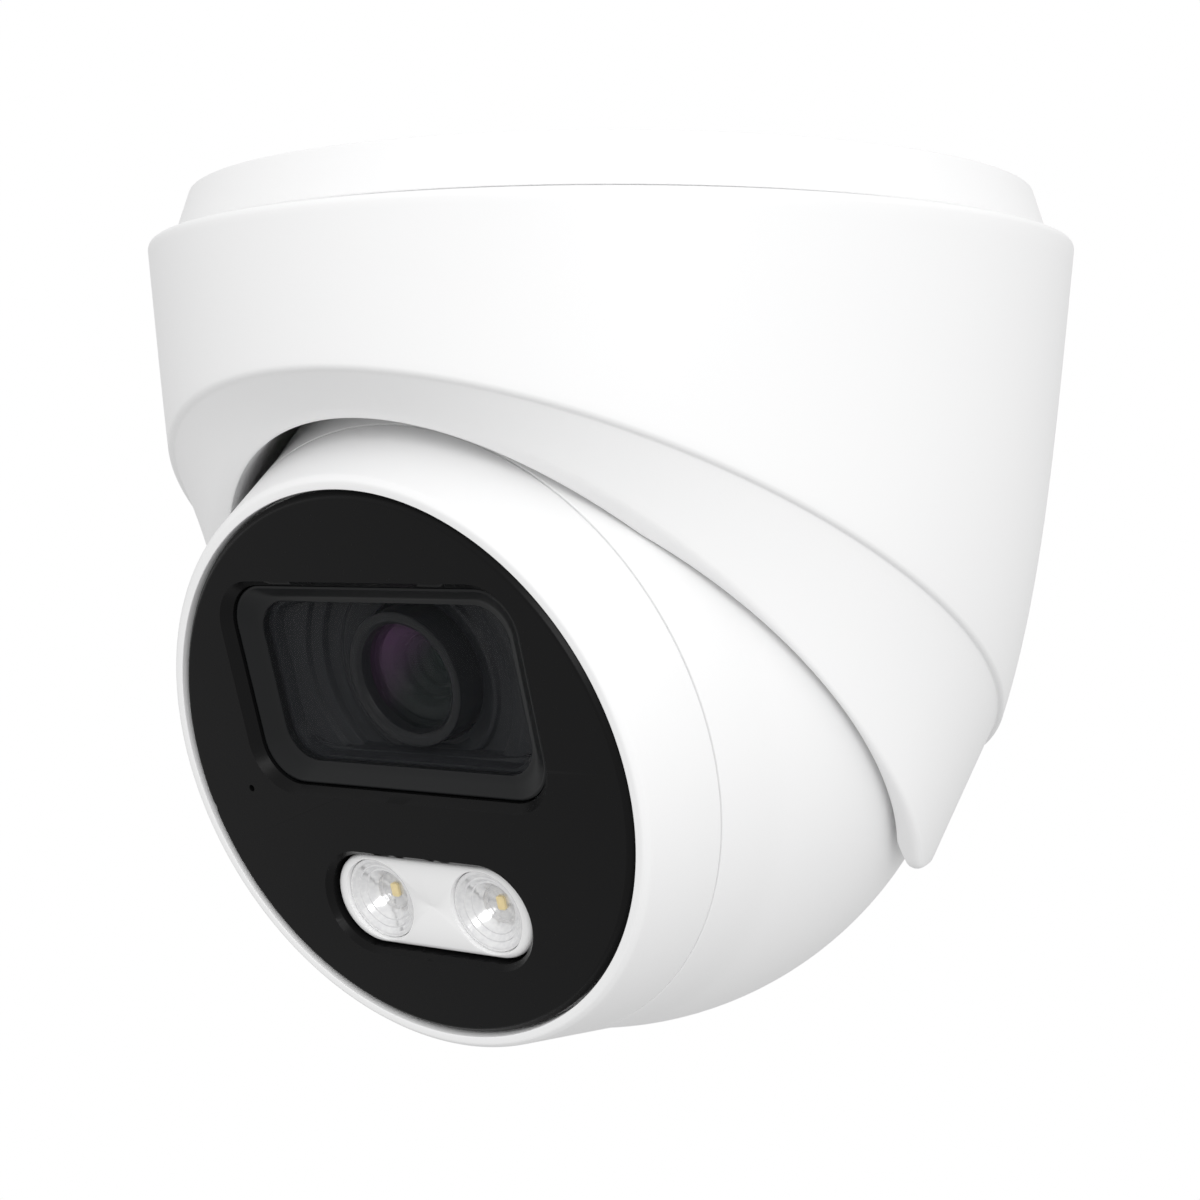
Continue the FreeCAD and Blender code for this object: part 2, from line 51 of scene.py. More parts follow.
def sheet_to_shape(name, across, along, place, wrap_across=True, wrap_along=False):
    """A flat grid, pulled into shape: place(column, row) gives each corner in millimetres."""
    bpy.ops.object.select_all(action="DESELECT")
    bpy.ops.mesh.primitive_grid_add(x_subdivisions=across, y_subdivisions=along, size=2)
    piece = bpy.context.object
    piece.name = name
    piece.data.name = name
    for vertex in piece.data.vertices:
        column = round((vertex.co.x + 1) / 2 * across)
        row = round((vertex.co.y + 1) / 2 * along)
        if wrap_across:
            column %= across
        if wrap_along:
            row %= along
        vertex.co = Vector(place(column, row)) * MM
    bpy.ops.object.mode_set(mode="EDIT")
    bpy.ops.mesh.select_all(action="SELECT")
    bpy.ops.mesh.remove_doubles(threshold=1e-7)
    bpy.ops.mesh.dissolve_degenerate(threshold=1e-7)
    bpy.ops.mesh.select_all(action="SELECT")
    bpy.ops.mesh.normals_make_consistent(inside=False)
    bpy.ops.object.mode_set(mode="OBJECT")
    return piece


def smooth(piece, angle=35):
    bpy.ops.object.select_all(action="DESELECT")
    piece.select_set(True)
    bpy.context.view_layer.objects.active = piece
    bpy.ops.object.shade_smooth_by_angle(angle=math.radians(angle))


def upright(x, y, z):
    return (x, y, z)


def turned(name, outline, put=upright, steps=160, centre=(0.0, 0.0)):
    """A turned shape: a closed outline of (radius, height) swept once round the axis."""
    def place(column, row):
        radius, height = outline[row % len(outline)]
        angle = 2 * math.pi * column / steps
        return put(centre[0] + radius * math.cos(angle), centre[1] + radius * math.sin(angle), height)
    return sheet_to_shape(name, steps, len(outline), place, wrap_along=True)


def rounded(corner, before, after, size, parts=4):
    """Points of a small round at a corner of an outline."""
    def towards(target):
        way = Vector(target) - Vector(corner)
        return Vector(corner) + way.normalized() * min(size, way.length * 0.49)
    start, middle, end = towards(before), Vector(corner), towards(after)
    points = []
    for index in range(parts + 1):
        t = index / parts
        points.append(tuple(start * (1 - t) ** 2 + middle * (2 * t * (1 - t)) + end * t ** 2))
    return points


def soft_outline(corners, sizes):
    """Closed outline with each corner rounded by its own size; 0 keeps it sharp."""
    outline = []
    for index, corner in enumerate(corners):
        if sizes[index] == 0:
            outline.append(corner)
        else:
            before = corners[index - 1]
            after = corners[(index + 1) % len(corners)]
            outline += rounded(corner, before, after, sizes[index])
    return outline


def cut_with(piece, cutter):
    """Takes the cutter's shape out of the piece and removes the cutter."""
    bpy.ops.object.select_all(action="DESELECT")
    bpy.context.view_layer.objects.active = piece
    piece.select_set(True)
    cut = piece.modifiers.new("cut", "BOOLEAN")
    cut.operation = "DIFFERENCE"
    cut.solver = "EXACT"
    cut.object = cutter
    bpy.ops.object.modifier_apply(modifier=cut.name)
    bpy.data.objects.remove(cutter)


def break_edges(piece, width, angle=30, parts=2):
    """Softens the edges of a piece with a small bevel."""
    bpy.ops.object.select_all(action="DESELECT")
    bpy.context.view_layer.objects.active = piece
    piece.select_set(True)
    bevel = piece.modifiers.new("edges", "BEVEL")
    bevel.width = width * MM
    bevel.segments = parts
    bevel.limit_method = "ANGLE"
    bevel.angle_limit = math.radians(angle)
    bpy.ops.object.modifier_apply(modifier=bevel.name)


def effect_group(name, inputs, outputs):
    group = bpy.data.node_groups.new(name, "ShaderNodeTree")
    for label, kind, value in inputs:
        socket = group.interface.new_socket(label, in_out="INPUT", socket_type=kind)
        socket.default_value = value
    for label, kind in outputs:
        group.interface.new_socket(label, in_out="OUTPUT", socket_type=kind)
    entry = group.nodes.new("NodeGroupInput")
    leave = group.nodes.new("NodeGroupOutput")
    return group, entry, leave


def moulded_skin_group():
    """Fine spark-eroded mould texture: small colour drift, roughness drift and grain height."""
    group, entry, leave = effect_group(
        "moulded_skin",
        [("Colour", "NodeSocketColor", (0.8, 0.8, 0.8, 1)),
         ("Shade", "NodeSocketColor", (0.76, 0.76, 0.76, 1)),
         ("Grain", "NodeSocketFloat", 2200.0), ("Roughness", "NodeSocketFloat", 0.45),
         ("Roughness drift", "NodeSocketFloat", 0.08)],
        [("Colour", "NodeSocketColor"), ("Roughness", "NodeSocketFloat"), ("Height", "NodeSocketFloat")])
    links = group.links
    place = group.nodes.new("ShaderNodeTexCoord")
    grain = group.nodes.new("ShaderNodeTexNoise")
    grain.inputs["Detail"].default_value = 3.0
    cloud = group.nodes.new("ShaderNodeTexNoise")
    cloud.inputs["Scale"].default_value = 38.0
    cloud.inputs["Detail"].default_value = 4.0
    tint = group.nodes.new("ShaderNodeMix")
    tint.data_type = "RGBA"
    gloss = group.nodes.new("ShaderNodeMath")
    gloss.operation = "MULTIPLY_ADD"
    links.new(place.outputs["Object"], grain.inputs["Vector"])
    links.new(place.outputs["Object"], cloud.inputs["Vector"])
    links.new(entry.outputs["Grain"], grain.inputs["Scale"])
    links.new(cloud.outputs["Fac"], tint.inputs["Factor"])
    links.new(entry.outputs["Colour"], tint.inputs["A"])
    links.new(entry.outputs["Shade"], tint.inputs["B"])
    links.new(grain.outputs["Fac"], gloss.inputs[0])
    links.new(entry.outputs["Roughness drift"], gloss.inputs[1])
    links.new(entry.outputs["Roughness"], gloss.inputs[2])
    links.new(tint.outputs["Result"], leave.inputs["Colour"])
    links.new(gloss.outputs["Value"], leave.inputs["Roughness"])
    links.new(grain.outputs["Fac"], leave.inputs["Height"])
    return group


moulded_skin = moulded_skin_group()


def moulded(name, colour, shade, roughness, grain=2200.0, depth=0.02, drift=0.08, metallic=0.0, specular=0.5):
    """Material with the moulded or cast skin; depth is the bump height in millimetres."""
    material = bpy.data.materials.new(name)
    material.use_nodes = True
    tree = material.node_tree
    shader = tree.nodes["Principled BSDF"]
    skin = tree.nodes.new("ShaderNodeGroup")
    skin.node_tree = moulded_skin
    skin.inputs["Colour"].default_value = (*colour, 1)
    skin.inputs["Shade"].default_value = (*shade, 1)
    skin.inputs["Grain"].default_value = grain
    skin.inputs["Roughness"].default_value = roughness
    skin.inputs["Roughness drift"].default_value = drift
    bump = tree.nodes.new("ShaderNodeBump")
    bump.inputs["Strength"].default_value = 0.35
    bump.inputs["Distance"].default_value = depth * MM
    shader.inputs["Metallic"].default_value = metallic
    shader.inputs["Specular IOR Level"].default_value = specular
    tree.links.new(skin.outputs["Colour"], shader.inputs["Base Color"])
    tree.links.new(skin.outputs["Roughness"], shader.inputs["Roughness"])
    tree.links.new(skin.outputs["Height"], bump.inputs["Height"])
    tree.links.new(bump.outputs["Normal"], shader.inputs["Normal"])
    return material


white_plastic = moulded("white_plastic", (0.86, 0.86, 0.86), (0.845, 0.845, 0.848), 0.45, depth=0.02,
                        specular=0.35)


def dress(piece, material, body, slot, *stands_for):
    """Finish and body of one piece; the record slot argument is not used."""
    piece.data.materials.clear()
    piece.data.materials.append(material)
    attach(piece, body)
    if stands_for:
        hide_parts(*stands_for)


base_outline = soft_outline(
    [(55.6, 0.0), (57.7, -6.4), (56.9, -6.4), (56.9, -11.0), (54.3, -11.0), (54.3, -2.4), (8.0, -2.4),
     (8.0, 0.0)],
    [0.35, 0.4, 0, 0.2, 0.2, 0.3, 0, 0])
ceiling_base = turned("ceiling_base", base_outline, steps=224)


def hole_cutter(radius, low, high, x, y, put=upright):
    outline = [(0.001, low), (radius, low), (radius, high), (0.001, high)]
    return turned("hole_cutter", outline, put, steps=48, centre=(x, y))


for turn in (90, 210, 330):
    angle = math.radians(turn)
    cut_with(ceiling_base, hole_cutter(2.3, -4, 1, 40 * math.cos(angle), 40 * math.sin(angle)))
gasket_cutter = turned("gasket_cutter", [(50.6, -1.0), (53.4, -1.0), (53.4, 1.0), (50.6, 1.0)], steps=224)
cut_with(ceiling_base, gasket_cutter)
smooth(ceiling_base)
dress(ceiling_base, white_plastic, "base", "white_shell", "mounting_base")

# ---------------------------------------------------------------------------
# Outer cover: one white moulding that hangs round the ball and turns with it.
# A bowl ends in a rounded, slanted crease; a stepped-in band runs on from it
# to a rounded lip. Inside, a wall closes in over the ball at the front.
# ---------------------------------------------------------------------------
RIM_RADIUS, RIM_Z, TAPER, CURL = 61.0, -6.8, 0.092, 45.7
WALL, BORE, CREASE_STEP, CREASE_ROUND = 2.1, 57.3, 0.8, 0.55
CREASE_TILT, CREASE_AT, FLOOR_AT = math.radians(27.7), 50.2, 42.2
LIP_TILT, LIP_AT = math.radians(45.5), 58.5
LIP_HALF_WIDTH, LIP_FRONT, LIP_BACK, LIP_CENTRE = 49.7, 61.4, 46.0, -46.1
BOTTOM = -86.0
COLLAR, COLLAR_TOP, COLLAR_BACK = 52.0, -24.0, -5.0
POCKET, POCKET_BORE, BORE_Y, BALL_Y, BALL_Z = 50.2, 48.2, -3.2, -3.8, -60.4
THROAT, THROAT_TOP = 45.2, -80.0
WALL_START = 0.6
FAR = 70.0
TIP = Vector((0, -(LIP_AT + BOTTOM * math.cos(LIP_TILT)) / math.sin(LIP_TILT), BOTTOM))


def bowl_radius(z):
    depth = RIM_Z - z
    return RIM_RADIUS - TAPER * depth - (max(depth, 0) / CURL) ** 4


def on_bowl(angle, inset, plane_at):
    """Where a plane parallel to the crease meets the bowl, inset from its outside."""
    height = -50.0
    slope, drop = math.sin(CREASE_TILT) * math.cos(angle), math.cos(CREASE_TILT)
    for _ in range(60):
        radius = bowl_radius(height) - inset
        height = 0.5 * (height + (slope * radius - plane_at) / drop)
    return Vector((radius * math.sin(angle), -radius * math.cos(angle), height))


def lip_outline(angle):
    """Outside of the lip on its own slanted plane."""
    sine, cosine = math.sin(LIP_TILT), math.cos(LIP_TILT)
    reach = LIP_FRONT if math.cos(angle) > 0 else LIP_BACK
    along = LIP_CENTRE + reach * math.cos(angle)
    side = LIP_HALF_WIDTH * math.sin(angle)
    return Vector((side, -sine * LIP_AT - cosine * along, -cosine * LIP_AT + sine * along))


def in_pocket(point):
    near_ball = (point - Vector((0, BALL_Y, BALL_Z))).length < POCKET
    in_bore = point.z > BALL_Z and math.hypot(point.x, point.y - BORE_Y) < POCKET_BORE
    in_throat = point.z < THROAT_TOP and math.hypot(point.x, point.y - BALL_Y) < THROAT
    return near_ball or in_bore or in_throat


def edge_of_pocket(inside, outside):
    """Halves the way between a point inside the pocket and one outside until it meets the wall."""
    for _ in range(40):
        middle = (inside + outside) / 2
        if in_pocket(middle):
            inside = middle
        else:
            outside = middle
    return inside


def arc(start, corner, end, parts):
    """Points of a round that leaves one face at start and meets the next at end."""
    return [start * (1 - t) ** 2 + corner * (2 * t * (1 - t)) + end * t ** 2
            for t in [index / parts for index in range(parts + 1)]]


def straight(start, end, parts):
    return [start.lerp(end, index / parts) for index in range(1, parts)]


def cover_section(angle):
    """Closed section of the cover in one heading, from the rim down, round the lip and up inside."""
    heading = Vector((math.sin(angle), -math.cos(angle), 0))
    rim = RIM_Z - 1.0
    top = heading * (bowl_radius(rim) - 1.0) + Vector((0, 0, RIM_Z))
    side = heading * bowl_radius(rim) + Vector((0, 0, rim))
    points = arc(top, side + Vector((0, 0, 1.0)), side, 6)
    edge = on_bowl(angle, 0, CREASE_AT)
    step = on_bowl(angle, CREASE_STEP, CREASE_AT)
    wall_end = edge.z + CREASE_ROUND
    rows = 26
    for index in range(1, rows + 1):
        height = rim + (wall_end - rim) * index / rows
        points.append(heading * bowl_radius(height) + Vector((0, 0, height)))
    points += arc(points[-1], edge, edge + (step - edge) * 0.72, 6)[1:]
    lip = lip_outline(angle)
    full, flat = 1.0, (BOTTOM - step.z) / (lip.z - step.z)
    soft = 0.05
    mix = max(soft - abs(full - flat), 0) / soft
    reach = min(full, flat) - mix * mix * soft / 4
    outer = step.lerp(lip, reach)
    inner = edge_of_pocket(TIP + (outer - TIP) * 0.5, outer)
    width = (outer - inner).length
    down, across = (outer - step).normalized(), (inner - outer).normalized()
    wall_low = inner.z + WALL_START
    rise = edge_of_pocket(Vector((0, BALL_Y, wall_low)), inner.lerp(outer, 3.0) + Vector((0, 0, WALL_START)))
    points += arc(step + (edge - step) * 0.15, step, step + down * 0.3, 3)
    points += straight(step + down * 0.3, outer - down * 0.7, 12)
    points += arc(outer - down * min(0.7, width * 0.6), outer, outer + across * width * 0.5, 6)
    points += arc(outer + across * width * 0.62, inner, inner + (rise - inner).normalized() * 0.45, 5)
    about = Vector((inner.x, inner.y - BALL_Y, 0)).normalized()
    floor_z = inner.z + 20
    for _ in range(40):
        wall = edge_of_pocket(Vector((0, BALL_Y, floor_z)), Vector((0, BALL_Y, floor_z)) + about * FAR)
        floor_z = 0.5 * (floor_z - (FLOOR_AT + math.sin(CREASE_TILT) * wall.y) / math.cos(CREASE_TILT))
    ledge = on_bowl(angle, WALL, FLOOR_AT)
    # In front the inner wall leans in over the ball; at the back it stays upright for the tilt guide.
    hugs_ball = wall.y < COLLAR_BACK
    if hugs_ball:
        wall_top, foot_z = COLLAR_TOP, floor_z
        for _ in range(40):
            out = math.sqrt(COLLAR ** 2 - (foot_z - BALL_Z) ** 2)
            foot_z = -(FLOOR_AT + math.sin(CREASE_TILT) * (BALL_Y + about.y * out)) / math.cos(CREASE_TILT)
        collar = []
        for index in range(7):
            height = wall_top + (foot_z - wall_top) * index / 6
            out = math.sqrt(COLLAR ** 2 - (height - BALL_Z) ** 2)
            collar.append(Vector((0, BALL_Y, height)) + about * out)
    else:
        wall_top = floor_z
        collar = [wall.lerp(ledge, 0.1 + index * 0.05) for index in range(7)]
    extra = math.hypot(inner.x, inner.y - BALL_Y) - math.sqrt(max(POCKET ** 2 - (inner.z - BALL_Z) ** 2, 0))
    rows = 16
    for index in range(1, rows + 1):
        height = wall_low + (wall_top - wall_low) * index / rows
        centre = Vector((0, BALL_Y, height))
        if hugs_ball:
            out = math.sqrt(POCKET ** 2 - (height - BALL_Z) ** 2) + max(extra, 0) * (1 - index / rows)
            points.append(centre + about * out)
        else:
            points.append(edge_of_pocket(centre, centre + about * FAR))
    points += collar
    points += straight(collar[-1], ledge, 3)
    rows = 10
    for index in range(rows + 1):
        height = ledge.z + (RIM_Z - 0.3 - ledge.z) * index / rows
        points.append(heading * min(bowl_radius(height) - WALL, BORE) + Vector((0, 0, height)))
    points.append(heading * (BORE + 0.3) + Vector((0, 0, RIM_Z)))
    return points


COLUMNS = 320
sections = [cover_section(2 * math.pi * index / COLUMNS) for index in range(COLUMNS)]
cover = sheet_to_shape("cover", COLUMNS, len(sections[0]),
                       lambda column, row: sections[column % COLUMNS][row % len(sections[0])],
                       wrap_along=True)
smooth(cover, 50)
dress(cover, white_plastic, "cover", "white_shell", "outer_cover")

# ---------------------------------------------------------------------------
# Ball shells: two white mouldings screwed together from inside, with a thin
# grey seal between them. The front one flares into the ring round the face.
# ---------------------------------------------------------------------------
REST_TILT = math.radians(17.8)
BALL, SHELL, RING, RING_Z, FACE_Z, FLARE_Z = 49.0, 2.2, 37.0, 40.4, 41.0, 23.0
SEAM_LOW, SEAM_HIGH = 30.9, 31.1


def in_ball(x, y, z):
    """From the ball's own directions (z along the lens) to the object's."""
    sine, cosine = math.sin(REST_TILT), math.cos(REST_TILT)
    return (x, BALL_Y - sine * y - cosine * z, BALL_Z + cosine * y - sine * z)


flare_top = math.sqrt(BALL ** 2 - FLARE_Z ** 2)
flare = (flare_top - RING) / (RING_Z - FLARE_Z)


def flare_radius(z):
    return flare_top - flare * (z - FLARE_Z)


front_outline = soft_outline(
    [(flare_radius(SEAM_HIGH), SEAM_HIGH), (RING, RING_Z), (36.35, FACE_Z), (35.3, FACE_Z), (35.3, 38.0),
     (33.0, 38.0), (33.0, 36.5), (36.0, 36.5), (flare_radius(SEAM_HIGH) - SHELL, SEAM_HIGH)],
    [0.14, 0.3, 0.25, 0.15, 0, 0, 0, 0, 0])
front = turned("ball_front", front_outline, in_ball, steps=256)
smooth(front, 28)
dress(front, white_plastic, "ball", "white_shell", "front_shell")

blend = 2.2
round_start = (math.sqrt(BALL ** 2 - (FLARE_Z - blend) ** 2), FLARE_Z - blend)
rear_outline = [(flare_radius(SEAM_LOW) - SHELL, SEAM_LOW)]
rear_outline += rounded((flare_radius(SEAM_LOW), SEAM_LOW), rear_outline[0], (flare_top, FLARE_Z), 0.14)
rear_outline += rounded((flare_top, FLARE_Z), (flare_radius(SEAM_LOW), SEAM_LOW), round_start, blend, 8)[:-1]
low_angle, high_angle = math.asin((FLARE_Z - blend) / BALL), -math.acos(8.2 / BALL)
for index in range(61):
    angle = low_angle + (high_angle - low_angle) * index / 60
    rear_outline.append((BALL * math.cos(angle), BALL * math.sin(angle)))
rear_outline += [(8.2, -46.8), (4.2, -46.8), (4.2, -44.6), (10.0, -44.6)]
inside_low = -math.acos(10.4 / (BALL - SHELL))
for index in range(31):
    angle = inside_low + (low_angle - inside_low) * index / 30
    rear_outline.append(((BALL - SHELL) * math.cos(angle), (BALL - SHELL) * math.sin(angle)))
rear = turned("ball_rear", rear_outline, in_ball, steps=256)
smooth(rear, 28)
dress(rear, white_plastic, "ball", "white_shell", "rear_shell")

# ---------------------------------------------------------------------------
# Face plate: black moulded disc set in the white ring, with a slanted-edge
# window for the lens and a slot for the lamps. Glossy, with bevelled edges.
# ---------------------------------------------------------------------------
LENS_Y, LAMP_Y, LAMP_X = 9.8, -18.4, 8.7


def rounded_rectangle(width, height, corner, count=128):
    """Points round a rectangle with round corners, evenly spaced, anticlockwise from the right side."""
    flat_x, flat_y = width - 2 * corner, height - 2 * corner
    per_run = count // 8
    points = []
    for run in range(8):
        side = run // 2
        turn = math.pi / 2 * side
        for index in range(per_run):
            t = index / per_run
            if run % 2 == 0:
                half = (width if side % 2 == 0 else height) / 2
                span = flat_y if side % 2 == 0 else flat_x
                local = (half, (t - 0.5) * span)
            else:
                half = (width if side % 2 == 0 else height) / 2
                span = (flat_y if side % 2 == 0 else flat_x) / 2
                angle = math.pi / 2 * t
                local = (half - corner + corner * math.cos(angle), span + corner * math.sin(angle))
            points.append((local[0] * math.cos(turn) - local[1] * math.sin(turn),
                           local[0] * math.sin(turn) + local[1] * math.cos(turn)))
    return points


def nested(name, levels, centre, count=128, closed=True):
    """A shape stacked from outlines: each level is (width, height, corner, depth position)."""
    rings = [rounded_rectangle(width, height, corner, count) for width, height, corner, _ in levels]

    def place(column, row):
        row %= len(levels)
        x, y = rings[row][column % count]
        return in_ball(centre[0] + x, centre[1] + y, levels[row][3])
    return sheet_to_shape(name, count, len(levels) if closed else len(levels) - 1, place, wrap_along=closed)


def cutter_from(levels, centre, count=128):
    """Closed cutter from a stack of outlines."""
    speck = 0.002
    low = (speck * 3, speck * 3, speck, levels[0][3])
    high = (speck * 3, speck * 3, speck, levels[-1][3])
    return nested("cutter", [low] + levels + [high], centre, count, closed=False)


plate_outline = soft_outline([(34.95, 38.5), (34.95, 40.25), (34.2, 41.0), (0.004, 41.0), (0.004, 38.5)],
                             [0, 0.15, 0.2, 0, 0])
plate = turned("face_disc", plate_outline, in_ball, steps=256)
window_cut = [(46.0, 26.4, 5.6, 37.0), (46.0, 26.4, 5.6, 39.8), (48.3, 28.2, 6.5, 41.0),
              (50.2, 29.7, 7.2, 42.0)]
cut_with(plate, cutter_from(window_cut, (0, LENS_Y)))
lamp_cut = [(32.2, 12.7, 6.3, 37.0), (32.2, 12.7, 6.3, 40.3), (33.5, 14.0, 6.95, 41.0),
            (35.4, 15.9, 7.9, 42.0)]
cut_with(plate, cutter_from(lamp_cut, (0, LAMP_Y)))
cut_with(plate, hole_cutter(0.45, 38.0, 42.0, -25.7, -4.0, in_ball))
cut_with(plate, hole_cutter(0.95, 38.0, 42.0, -34.15, -7.3, in_ball))
break_edges(plate, 0.12)
smooth(plate, 30)
plate.modifiers.new("flat_faces_first", "WEIGHTED_NORMAL").keep_sharp = True
bpy.context.view_layer.objects.active = plate
bpy.ops.object.modifier_apply(modifier="flat_faces_first")
black_gloss = moulded("black_gloss", (0.0056, 0.0056, 0.0058), (0.0046, 0.0046, 0.0048), 0.24, 900.0, 0.003,
                      0.05, specular=0.1)
dress(plate, black_gloss, "ball", "black_face", "face_plate")

# ---------------------------------------------------------------------------
# Lens bezel: dark moulded frame behind the window edge, sloping in to a clear
# pane. The pane is thin and coated, so it hardly shows.
# ---------------------------------------------------------------------------
bezel_levels = [
    (45.7, 26.1, 5.5, 37.2), (45.7, 26.1, 5.5, 39.3), (45.55, 25.95, 5.4, 39.45), (45.3, 25.7, 5.3, 39.5),
    (45.0, 25.4, 5.2, 39.5), (44.6, 25.05, 5.0, 39.35), (42.0, 23.0, 4.8, 38.45), (40.7, 21.9, 4.7, 38.1),
    (40.2, 21.4, 4.6, 38.1), (39.95, 21.15, 4.55, 38.0), (39.9, 21.1, 4.5, 37.8), (39.9, 21.1, 4.5, 37.05),
]
bezel = nested("window_bezel", bezel_levels, (0, LENS_Y), 160)
smooth(bezel, 40)
dark_satin = moulded("dark_satin", (0.007, 0.0075, 0.008), (0.0055, 0.006, 0.0065), 0.26, 1500.0, 0.006,
                     specular=0.22)
dress(bezel, dark_satin, "ball", "dark_bezel", "lens_bezel")


def clear(name, colour, alpha, roughness, ior=1.5):
    """Thin clear part that light passes straight through."""
    material = bpy.data.materials.new(name)
    material.use_nodes = True
    tree = material.node_tree
    shader = tree.nodes["Principled BSDF"]
    place = tree.nodes.new("ShaderNodeTexCoord")
    cloud = tree.nodes.new("ShaderNodeTexNoise")
    cloud.inputs["Scale"].default_value = 160.0
    spread = tree.nodes.new("ShaderNodeMapRange")
    spread.inputs["To Min"].default_value = roughness
    spread.inputs["To Max"].default_value = roughness + 0.03
    tree.links.new(place.outputs["Object"], cloud.inputs["Vector"])
    tree.links.new(cloud.outputs["Fac"], spread.inputs["Value"])
    tree.links.new(spread.outputs["Result"], shader.inputs["Roughness"])
    shader.inputs["Base Color"].default_value = (*colour, 1)
    shader.inputs["Alpha"].default_value = alpha
    shader.inputs["IOR"].default_value = ior
    return material


nodes["lens_window"].data.materials.clear()
nodes["lens_window"].data.materials.append(clear("coated_pane", (0.02, 0.022, 0.025), 0.10, 0.02, 1.3))

# ---------------------------------------------------------------------------
# Lens baffle: matt dark tray behind the pane with terraces at each side and a
# round funnel for the barrel. It keeps stray light away from the lens.
# ---------------------------------------------------------------------------
def baffle_place(levels, count, centre):
    rings = []
    for shape in levels:
        if shape[0] == "box":
            flat = rounded_rectangle(shape[1], shape[2], shape[3], count)
            rings.append([(x, y, shape[4]) for x, y in flat])
        else:
            flat = rounded_rectangle(2 * shape[1], 2 * shape[1], shape[1], count)
            rings.append([(x, max(-shape[2], min(shape[2], y)), shape[3]) for x, y in flat])

    def place(column, row):
        x, y, z = rings[row % len(levels)][column % count]
        return in_ball(centre[0] + x, centre[1] + y, z)
    return place


baffle_levels = [
    ("box", 41.2, 22.4, 4.9, 32.0), ("box", 41.2, 22.4, 4.9, 36.9), ("box", 38.6, 20.4, 4.6, 36.9),
    ("box", 38.2, 20.2, 4.6, 35.3), ("round", 17.9, 10.0, 35.0), ("round", 16.9, 9.95, 34.9),
    ("round", 16.7, 9.9, 34.1), ("round", 15.0, 9.85, 33.9), ("round", 14.8, 9.8, 33.0),
    ("round", 12.5, 9.75, 32.9), ("round", 12.2, 9.75, 33.4), ("round", 11.7, 9.7, 33.5),
    ("round", 10.0, 9.6, 32.4), ("round", 9.3, 9.3, 32.3), ("round", 9.3, 9.3, 32.0),
]
baffle = sheet_to_shape("lens_tray", 160, len(baffle_levels), baffle_place(baffle_levels, 160, (0, LENS_Y)),
                        wrap_along=True)
break_edges(baffle, 0.1, 35, 2)
smooth(baffle, 35)
dark_matt = moulded("dark_matt", (0.0145, 0.0155, 0.0175), (0.012, 0.013, 0.015), 0.42, 2600.0, 0.01,
                    specular=0.2)
dress(baffle, dark_matt, "ball", "dark_baffle", "lens_baffle")

# ---------------------------------------------------------------------------
# Lens: black anodised barrel with a coated dome of glass at its mouth, and
# dark rings and a small rear glass deeper in.
# ---------------------------------------------------------------------------
barrel_outline = soft_outline(
    [(8.75, 20.0), (8.75, 36.0), (7.6, 36.0), (7.05, 35.55), (7.05, 33.2), (6.4, 33.0), (6.1, 30.5),
     (5.6, 30.3), (5.6, 20.0)],
    [0, 0.35, 0.15, 0.1, 0, 0.1, 0.1, 0, 0])
barrel = turned("lens_tube", barrel_outline, in_ball, steps=128, centre=(0, LENS_Y))
smooth(barrel, 28)
black_anodised = moulded("black_anodised", (0.008, 0.0085, 0.0095), (0.006, 0.0065, 0.0075), 0.26, 1800.0,
                         0.001, specular=0.22)
dress(barrel, black_anodised, "ball", "black_metal", "lens_barrel")

spacer_outline = soft_outline(
    [(6.95, 31.6), (6.95, 32.8), (4.9, 32.2), (4.2, 31.2), (4.2, 30.2), (3.3, 29.6), (3.3, 28.8), (2.5, 28.2),
     (2.5, 27.2), (5.5, 27.2), (5.5, 30.6), (6.0, 31.6)],
    [0, 0.1, 0.15, 0.15, 0.1, 0.1, 0.1, 0.1, 0, 0, 0, 0])
spacer = turned("lens_rings", spacer_outline, in_ball, steps=96, centre=(0, LENS_Y))
smooth(spacer, 28)
dress(spacer, black_anodised, "ball", "black_metal", "lens_spacer")


def dome_outline(radius, back, edge, bulge, parts=14):
    """Closed outline of a lens with a flat back and a domed front."""
    curve = (radius ** 2 + bulge ** 2) / (2 * bulge)
    outline = [(0.003, back), (radius, back)]
    for index in range(parts + 1):
        r = max(radius * math.cos(math.pi / 2 * index / parts), 0.003)
        outline.append((r, edge + bulge - curve + math.sqrt(curve ** 2 - r ** 2)))
    return outline


def glass_with_painted_reflection(name, glass_colour, painted_reflection_colour, alpha, strength, reflection_sweep):
    """Coated glass: a reflection colour painted on toward the upper left of the glass, and a clear gloss."""
    material = bpy.data.materials.new(name)
    material.use_nodes = True
    tree = material.node_tree
    shader = tree.nodes["Principled BSDF"]
    place = tree.nodes.new("ShaderNodeTexCoord")
    # The mask toward the upper left places the painted reflection.
    across = tree.nodes.new("ShaderNodeVectorMath")
    across.operation = "DOT_PRODUCT"
    across.inputs[1].default_value = (-0.7, 0.0, 0.7)
    spread = tree.nodes.new("ShaderNodeMapRange")
    spread.inputs["From Min"].default_value = reflection_sweep[0]
    spread.inputs["From Max"].default_value = reflection_sweep[1]
    mix = tree.nodes.new("ShaderNodeMix")
    mix.data_type = "RGBA"
    mix.inputs["A"].default_value = (*glass_colour, 1)
    mix.inputs["B"].default_value = (*painted_reflection_colour, 1)
    tree.links.new(place.outputs["Object"], across.inputs[0])
    tree.links.new(across.outputs["Value"], spread.inputs["Value"])
    tree.links.new(spread.outputs["Result"], mix.inputs["Factor"])
    tree.links.new(mix.outputs["Result"], shader.inputs["Base Color"])
    shader.inputs["Metallic"].default_value = strength
    shader.inputs["Roughness"].default_value = 0.06
    shader.inputs["Alpha"].default_value = alpha
    shader.inputs["Coat Weight"].default_value = 0.3
    shader.inputs["Coat Roughness"].default_value = 0.03
    return material


lens_centre = Vector(in_ball(0, LENS_Y, 35.0)) * 0.001
